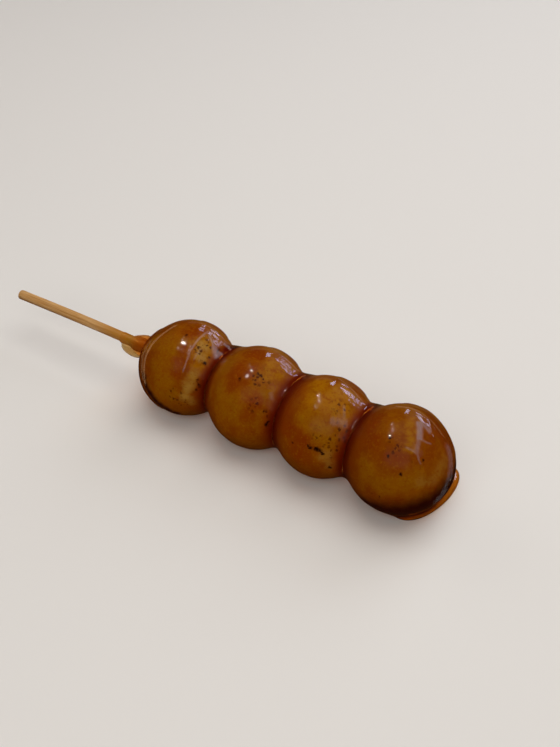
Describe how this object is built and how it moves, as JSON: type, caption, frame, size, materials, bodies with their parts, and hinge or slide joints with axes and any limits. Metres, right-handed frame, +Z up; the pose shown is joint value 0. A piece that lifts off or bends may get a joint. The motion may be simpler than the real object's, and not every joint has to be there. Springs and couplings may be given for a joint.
{
  "type": "mitarashi dango skewer",
  "caption": "Row of round glazed rice dumplings pressed together on a round bamboo stick, with a glaze collar and drip at the stick and a glaze lip round the last dumpling's foot.",
  "frame": {"origin": "on the surface the skewer rests on, under the middle of its whole length", "axes": "+X along the row from the bare end of the stick to the last dumpling, +Z up, +Y completes a right-handed frame"},
  "size_m": [0.1624, 0.0356, 0.0311],
  "materials": {
    "bamboo": "satin, fine lengthwise grain",
    "toasted_dough": "toasted rice dough under clear glossy amber glaze",
    "soy_glaze": "clear glossy red-brown amber"
  },
  "bodies": {
    "root": {"bamboo_stick": "bamboo", "dango_1": "toasted_dough", "dango_2": "toasted_dough", "dango_3": "toasted_dough", "dango_4": "toasted_dough", "glaze_collar": "soy_glaze", "glaze_foot": "soy_glaze"}
  },
  "joints": []
}
